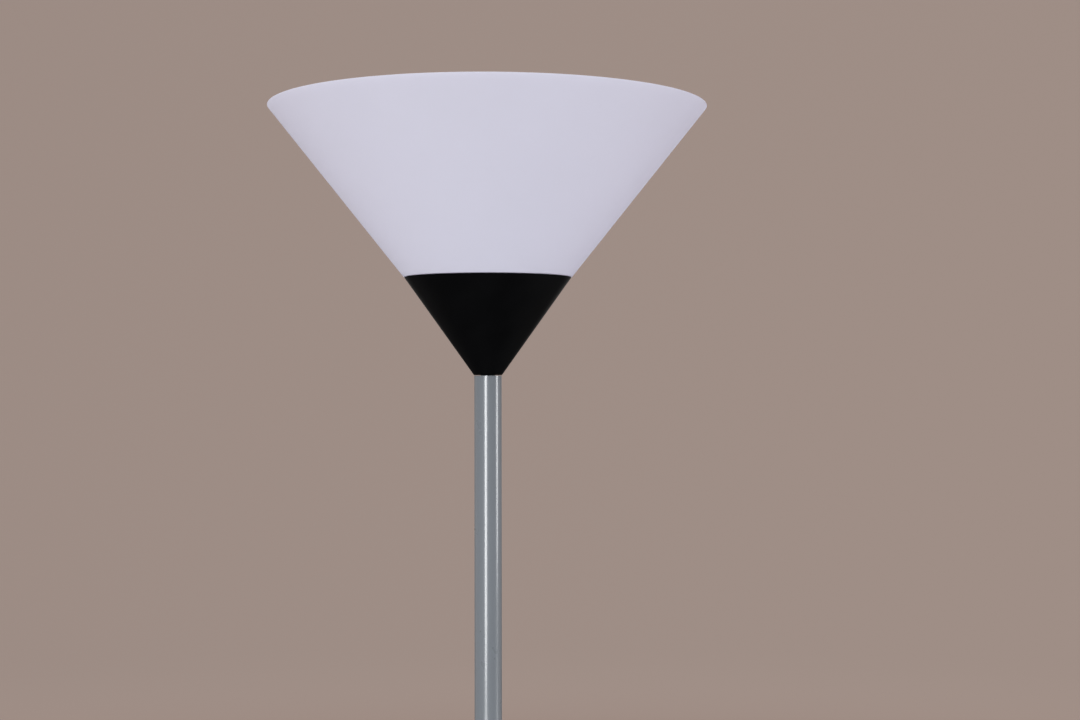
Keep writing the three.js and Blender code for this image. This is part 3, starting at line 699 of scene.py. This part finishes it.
def dimmer_grip():
    back, front = -KNOB_HIGH.y, -KNOB_LOW.y
    radius = KNOB_HIGH.x
    grip_r = radius - 0.4
    bore_r = GAP + 3
    bore_end = front - 2.7
    room_r = 8.2
    room_end = back + 4.2
    flute_low, flute_high = back + 3, front - 1.9
    profile = [
        (0, bore_end), (bore_r, bore_end), (bore_r, room_end), (room_r, room_end), (room_r, back, 0.2),
        (radius, back, 0.4), (radius, back + 2, 0.5), (grip_r, back + 2.6),
        *wall(grip_r, flute_low, flute_high, 0.8),
        (grip_r - 0.05, front - 1.5, 0.6), (grip_r - 1.6, front, 1.2), (0, front),
    ]
    flutes = ribs(grip_r, 0.75, KNOB_FLUTES, flute_low, flute_high, 2.0)
    knob = placed(turned(profile, WIDE, closed=False, shift=flutes), FACING_FRONT)
    turn = Matrix.Rotation(POINTER_ANGLE, 4, "Y")
    recess_floor = -(front - 0.7) * MM
    recess = placed(bar(1.5, 5.8, 2, 0.01), Matrix.Translation((0, recess_floor - 2 * MM, 2.35 * MM)))
    knob = cut(knob, placed(recess, turn))
    piece("dimmer_grip", placed(knob, raised(DIMMER_Z)), "dimmer_knob")
    mark = placed(bar(1.2, 5.5, 0.6, 0.15), Matrix.Translation((0, -front * MM, 2.5 * MM)))
    piece("dimmer_mark", placed(placed(mark, turn), raised(DIMMER_Z)), "dimmer_knob_pointer")


# ---- Head, modelled about the holder's foot on the pole's axis ---------------------------------------
HOLDER_H = HOLDER_HIGH.z - HOLDER_LOW.z
HOLDER_TOP_R = HOLDER_HIGH.x
HOLDER_SLOPE = (HOLDER_TOP_R - HOLDER_FOOT_R) / HOLDER_H
HOLDER_WALL_ACROSS = HOLDER_WALL * math.hypot(1, HOLDER_SLOPE)
SEAT_Z = SHADE_LOW.z - HOLDER_Z - GAP  # the lampholder's shoulder, which the shade's floor rests on
TIP_Z = box_mm("bulb_tip")[0].z - HOLDER_Z


def holder_inside(z):
    return HOLDER_FOOT_R + HOLDER_SLOPE * z - HOLDER_WALL_ACROSS


def holder_cone():
    profile = [
        (THREAD_HOLE, 0), (HOLDER_FOOT_R + 0.05, 0, 0.5), (HOLDER_TOP_R, HOLDER_H, 0.22),
        (HOLDER_TOP_R - HOLDER_WALL_ACROSS, HOLDER_H, 0.3),
        (holder_inside(HOLDER_FLOOR), HOLDER_FLOOR, 1), (THREAD_HOLE, HOLDER_FLOOR),
    ]
    piece("holder_cone", placed(turned(profile, WIDE), raised(HOLDER_Z)), "holder_cup")


def opal_shade():
    foot = HOLDER_H + GAP
    rim = SHADE_HIGH.z - HOLDER_Z
    rim_r = SHADE_HIGH.x
    slope = (rim_r - SHADE_FOOT_R) / (rim - foot)
    across = SHADE_WALL * math.hypot(1, slope)
    floor = SEAT_Z + GAP
    floor_top = floor + SHADE_FLOOR_T
    ledge = foot + SHADE_WALL

    def skirt(z):
        return holder_inside(z) - SKIRT_PLAY

    profile = [
        (SHADE_HOLE_R, floor, 0.3), (skirt(floor), floor, 1), (skirt(foot), foot, 0.3),
        (SHADE_FOOT_R - 0.1, foot, 0.35), (rim_r, rim - 0.15, 0.1), (rim_r - 0.12, rim, 0.1),
        (rim_r - across, rim, 0.6), (SHADE_FOOT_R + slope * SHADE_WALL - across, ledge, 1.5),
        (skirt(ledge) - across, ledge, 0.5), (skirt(floor_top) - across, floor_top, 1.5),
        (SHADE_HOLE_R, floor_top, 0.3),
    ]
    piece("opal_shade", placed(turned(profile, WIDE), raised(HOLDER_Z)), "shade")


def clamp_ring():
    low, high = box_mm("shade_ring")
    foot, top = low.z - HOLDER_Z, high.z - HOLDER_Z
    bore = box_mm("lampholder_shell")[1].x - SLEEVE_STEP + GAP
    flange = high.x
    hub = bore + 3
    grip_low = foot + 3.4
    profile = [
        (bore, foot, 0.2), (flange, foot, 0.4), (flange, foot + 2, 0.5), (hub + 1, foot + 2.4, 1),
        *wall(hub, grip_low, top - 0.8, 0.6), (hub - 0.3, top - 0.3), (hub - 0.9, top), (bore, top, 0.3),
    ]
    grip = ribs(hub, 0.6, RING_RIBS, grip_low, top - 0.4, 0.8)
    piece("shade_clamp_ring", placed(turned(profile, WIDE, shift=grip), raised(HOLDER_Z)), "shade_ring")


def lampholder_sleeve():
    low, high = box_mm("lampholder_shell")
    foot, top, wide = low.z - HOLDER_Z, high.z - HOLDER_Z, high.x
    crest = wide - SLEEVE_STEP
    wall_in = wide - SLEEVE_WALL
    bore = SLEEVE_BORE_R
    ceiling = SEAT_Z - SHOULDER_T
    grip_low, grip_high = foot + 0.8, SEAT_Z - 1.2
    thread_low, thread_high = SEAT_Z + 1, top - 1.2
    profile = [
        (wall_in, foot), (wide, foot, 0.3), *wall(wide, grip_low, grip_high, 0.8), (wide, SEAT_Z, 0.6),
        (crest, SEAT_Z), *wall(crest, thread_low, thread_high, 0.25),
        (crest - 0.3, top - 0.6), (crest - 1, top, 0.3), (bore, top, 0.5), (bore, ceiling),
        (wall_in, ceiling),
    ]
    thread = helix(crest, 0.7, 3, thread_low, thread_high, 1.8)
    grip = ribs(wide, 0.4, SLEEVE_RIBS, grip_low, grip_high, 0.8)

    def shift(angle, r, z):
        return thread(angle, grip(angle, r, z), z)

    sleeve = turned(profile, RIBBED, shift=shift)
    piece("lampholder_sleeve", placed(sleeve, raised(HOLDER_Z)), "lampholder_shell")


def lampholder_thread():
    """The rolled brass shell, its two faces waved by the same thread."""
    low, high = box_mm("lampholder_screw_shell")
    foot, top, out = low.z - HOLDER_Z, high.z - HOLDER_Z, high.x
    back = out - 0.35
    back_wave = out - 0.351
    low_end, high_end = foot + 0.2, top - 0.2
    screw = [
        (out, foot), *wall(out, low_end, high_end, 0.3), (out, top),
        (back, top), *wall(back_wave, high_end, low_end, 0.3), (back, foot),
    ]
    outer = helix(out, 0.6, SCREW_PITCH, low_end, high_end)
    inner = helix(back_wave, 0.6, SCREW_PITCH, low_end, high_end)
    rolled = turned(screw, shift=lambda angle, r, z: inner(angle, outer(angle, r, z), z))
    piece("lampholder_thread", placed(rolled, raised(HOLDER_Z)), "lampholder_screw_shell")


# ---- Bulb, modelled about its centre contact ---------------------------------------------------------
BULB_BASE = raised(HOLDER_Z + TIP_Z)
DOME_SKIRT = 10  # degrees that the dome's ball reaches below its widest place


def bulb_part(name, node, profile, sides=ROUND, shift=None, look=None):
    solid = turned(profile, sides, closed=False, shift=shift)
    piece(name, placed(solid, BULB_BASE), node, look=look)


def sphere_arc(radius, centre, degrees):
    angles = [math.radians(step) for step in degrees]
    return [(radius * math.cos(a), centre + radius * math.sin(a)) for a in angles]


def bulb():
    tip_r, tip_top = 4.7, 1.6
    tip = [(0, 0), (2.6, 0, 0.8), (tip_r, 0.9, 0.3), (tip_r, tip_top), (0, tip_top)]
    bulb_part("bulb_contact", "bulb_tip", tip, SMALL)
    seal_r, seal_foot, seal_top = 10.6, 1.9, 4.9
    seal = [
        (0, seal_foot), (4.9, seal_foot, 0.3), (6, 2.5, 1), (seal_r, 4.7, 0.5), (seal_r, seal_top),
        (0, seal_top),
    ]
    bulb_part("bulb_glass_seal", "bulb_insulator", seal, SMALL)
    cap_low, cap_high = box_mm("bulb_cap")
    foot = cap_low.z - HOLDER_Z - TIP_Z
    top = cap_high.z - HOLDER_Z - TIP_Z
    crest = cap_high.x
    thread_low, thread_high = foot + 1.6, top - 2.2
    cap = [
        (0, foot), (10.9, foot, 0.5), (crest - 0.9, foot + 1, 0.5),
        *wall(crest, thread_low, thread_high, 0.25), (crest - 0.2, top - 1.8), (crest - 0.2, top, 0.3),
        (0, top),
    ]
    thread = helix(crest, 0.9, SCREW_PITCH, thread_low, thread_high)
    bulb_part("bulb_screw_cap", "bulb_cap", cap, shift=thread)
    body_low, body_high = box_mm("bulb_body")
    neck = body_low.z - HOLDER_Z - TIP_Z
    waist = body_high.z - HOLDER_Z - TIP_Z
    body_r = body_high.x
    body = [
        (0, neck), (12.6, neck, 0.4), (13.8, neck + 1.6, 1.5), (15.4, neck + 6.5, 14),
        (24.4, neck + 20, 30), (body_r, waist - 3, 6), (body_r, waist, 0.4), (0, waist),
    ]
    bulb_part("bulb_housing", "bulb_body", body)
    centre = box_mm("bulb_dome")[1].z - HOLDER_Z - TIP_Z - BULB_R
    inner_r = BULB_R - DOME_WALL
    edge = waist + GAP
    outer = sphere_arc(BULB_R, centre, range(-DOME_SKIRT, 90, 4))
    inner = sphere_arc(inner_r, centre, range(86, -DOME_SKIRT - 2, -6))
    dome = [
        (0, centre + inner_r), *inner, (body_r - DOME_WALL, edge), (body_r, edge, 0.3), *outer,
        (0, centre + BULB_R),
    ]
    bulb_part("bulb_frosted_dome", "bulb_dome", dome, look=FROSTED)


base_shell()
felt_pad()
inlet_grommet()
pole_collar()
pole_tubes()
dimmer_case()
dimmer_screws()
dimmer_grip()
holder_cone()
opal_shade()
clamp_ring()
lampholder_sleeve()
lampholder_thread()
bulb()

for node_name, node_object in frame["nodes"].items():
    for material_slot in node_object.material_slots:
        material_slot.link = "OBJECT"
        material_slot.material = SLOT_LOOKS[SLOT_OF[node_name]].material


# ---- Stage -------------------------------------------------------------------------------------------
STAGE_R = 7000  # millimetres, to the wall
STAGE_Z = -0.5
COVE_R = 260
WALL_H = 7500
FADE_NEAR = 1.5  # metres from the lamp, where the floor's colour starts to turn into the wall's
FADE_FAR = 6
FLOOR_COLOUR = (0.58, 0.545, 0.515)
WALL_COLOUR = (0.330, 0.253, 0.212)


def stage():
    """A round room: a pale floor that turns up into a plain wall in one smooth sheet."""
    look = Look("plain backdrop", Specular_IOR_Level=0)
    level = look.node("ShaderNodeMapping", Vector=look.place, Scale=(1, 1, 0)).outputs["Vector"]
    away = look.node("ShaderNodeVectorMath", {"operation": "LENGTH"}, Vector=level).outputs["Value"]
    fade = look.spread(away, 0, 1, FADE_NEAR, FADE_FAR)
    look.tint(look.ramp(fade, FLOOR_COLOUR, WALL_COLOUR, 0, 1))
    look.gloss(look.spread(look.noise(3), 0.85, 0.95))
    look.relief(look.noise(240), 0.05, 0.3)
    sheet = turned([(0, STAGE_Z), (STAGE_R, STAGE_Z, COVE_R), (STAGE_R, WALL_H)], WIDE, closed=False)
    bmesh.ops.reverse_faces(sheet, faces=sheet.faces)
    for face in sheet.faces:
        face.smooth = True
    mesh = bpy.data.meshes.new("backdrop")
    sheet.to_mesh(mesh)
    sheet.free()
    mesh.materials.append(look.material)
    made = bpy.data.objects.new("backdrop", mesh)
    bpy.context.scene.collection.objects.link(made)
    made.visible_diffuse = False
    made.visible_glossy = False
    made.visible_shadow = False


# Light from the surroundings, as colours at places along one axis from -1 (0) to 1 (1)
SKY_UP = [(0, (0.60, 0.605, 0.63)), (0.5, (0.70, 0.705, 0.73)), (1, (0.76, 0.77, 0.80))]
SKY_BACK = [(0, (0.965, 1.0, 1.01)), (1, (0.66, 0.57, 0.545))]
SKY_RIGHT = [(0, (1.0, 1.0, 1.0)), (1, (0.86, 0.86, 0.88))]
MIRRORED_BACK = [
    (0, (0.008, 0.008, 0.009)), (0.62, (0.013, 0.013, 0.013)), (0.76, (0.17, 0.158, 0.152)),
    (0.87, (0.05, 0.046, 0.044)), (0.955, (0.03, 0.028, 0.027)), (0.985, (0.24, 0.23, 0.225)),
    (1, (0.28, 0.27, 0.265)),
]
MIRRORED_UP = [(0, (0.1, 0.1, 0.1)), (0.28, (0.3, 0.3, 0.3)), (0.47, (1, 1, 1)), (1, (1, 1, 1))]
SKY_STRENGTH = 1.71


def surroundings():
    """Soft light from all sides, with what glossy surfaces mirror kept dark below and in front."""
    world = bpy.data.worlds.new("studio")
    bpy.context.scene.world = world
    world.use_nodes = True
    tree = world.node_tree
    link = tree.links.new
    place = tree.nodes.new("ShaderNodeTexCoord")
    parts = tree.nodes.new("ShaderNodeSeparateXYZ")
    link(place.outputs["Generated"], parts.inputs["Vector"])

    def along(axis, stops):
        level = tree.nodes.new("ShaderNodeMapRange")
        link(parts.outputs[axis], level.inputs["Value"])
        level.inputs["From Min"].default_value = -1
        ramp = tree.nodes.new("ShaderNodeValToRGB")
        link(level.outputs["Result"], ramp.inputs["Fac"])
        while len(ramp.color_ramp.elements) < len(stops):
            ramp.color_ramp.elements.new(0.5)
        for element, (position, colour) in zip(ramp.color_ramp.elements, stops):
            element.position = position
            element.color = (*colour, 1)
        return ramp.outputs["Color"]

    def mixed(blend, factor, first, second):
        mix = tree.nodes.new("ShaderNodeMix")
        mix.data_type = "RGBA"
        mix.blend_type = blend
        if isinstance(factor, bpy.types.NodeSocket):
            link(factor, mix.inputs["Factor"])
        else:
            mix.inputs["Factor"].default_value = factor
        link(first, mix.inputs[6])
        link(second, mix.inputs[7])
        return mix.outputs[2]

    rays = tree.nodes.new("ShaderNodeLightPath")
    sky = mixed("MULTIPLY", 1, along("Z", SKY_UP), along("Y", SKY_BACK))
    sky = mixed("MULTIPLY", 1, sky, along("X", SKY_RIGHT))
    mirrored = mixed("MULTIPLY", 1, along("Z", MIRRORED_UP), along("Y", MIRRORED_BACK))
    seen = mixed("MIX", rays.outputs["Is Glossy Ray"], sky, mirrored)
    link(seen, tree.nodes["Background"].inputs["Color"])
    tree.nodes["Background"].inputs["Strength"].default_value = SKY_STRENGTH


def softbox(name, place, target, width, height, power, colour=(1, 1, 1), diffuse=True, glossy=True):
    """A rectangular light that faces the target, and that the camera doesn't see."""
    light = bpy.data.lights.new(name, "AREA")
    light.shape = "RECTANGLE"
    light.size = width
    light.size_y = height
    light.energy = power
    light.color = colour
    made = bpy.data.objects.new(name, light)
    made.location = place
    made.rotation_euler = (Vector(target) - Vector(place)).to_track_quat("-Z", "Y").to_euler()
    made.visible_camera = False
    made.visible_diffuse = diffuse
    made.visible_glossy = glossy
    made.visible_transmission = diffuse
    bpy.context.scene.collection.objects.link(made)


OVERHEAD_PLACE = (-0.4, -0.9, 3.6)
OVERHEAD_SIZE = 2.6
OVERHEAD_POWER = 36
OVERHEAD_COLOUR = (0.97, 0.98, 1.0)

# Upright lights that only glossy surfaces mirror: where, how wide, from and up to what height, and the
# power of a metre of height. The near ones end where the highlights on the upper pole fade out, and the
# far ones reach below the floor so that the lower pole mirrors them from above.
STRIPS = {
    "left strip": ((-0.59, -1.91), 0.58, 1.06, 2.7, 9.6),
    "right strip": ((1.99, -0.21), 0.5, 1.25, 2.8, 6.6),
    "far left strip": ((-1.48, -4.78), 1.4, -1.9, 0.2, 23),
    "far right strip": ((4.97, -0.53), 1.2, -1.9, 0.2, 16),
}


def lights():
    head = (0, 0, HOLDER_HIGH.z * MM)
    softbox("overhead", OVERHEAD_PLACE, head, OVERHEAD_SIZE, OVERHEAD_SIZE, OVERHEAD_POWER,
            OVERHEAD_COLOUR, glossy=False)
    for name, ((x, y), width, low, high, power) in STRIPS.items():
        middle = (low + high) / 2
        height = high - low
        softbox(name, (x, y, middle), (0, 0, middle), width, height, power * height, diffuse=False)


# ---- Camera ------------------------------------------------------------------------------------------
CAMERA_PLACE = (0.0362, -1.2363, 1.5951)
CAMERA_PITCH = 0.0080
CAMERA_ROLL = 0.0012
LENS_MM = 59.24
SENSOR_MM = 36


def camera():
    data = bpy.data.cameras.new("camera")
    data.lens = LENS_MM
    data.sensor_width = SENSOR_MM
    data.dof.use_dof = False
    made = bpy.data.objects.new("camera", data)
    level = Matrix.Rotation(math.pi / 2 + CAMERA_PITCH, 4, "X") @ Matrix.Rotation(-CAMERA_ROLL, 4, "Z")
    made.matrix_world = Matrix.Translation(CAMERA_PLACE) @ level
    bpy.context.scene.collection.objects.link(made)
    bpy.context.scene.camera = made


stage()
surroundings()
lights()
camera()
bpy.context.scene.view_settings.view_transform = "Standard"
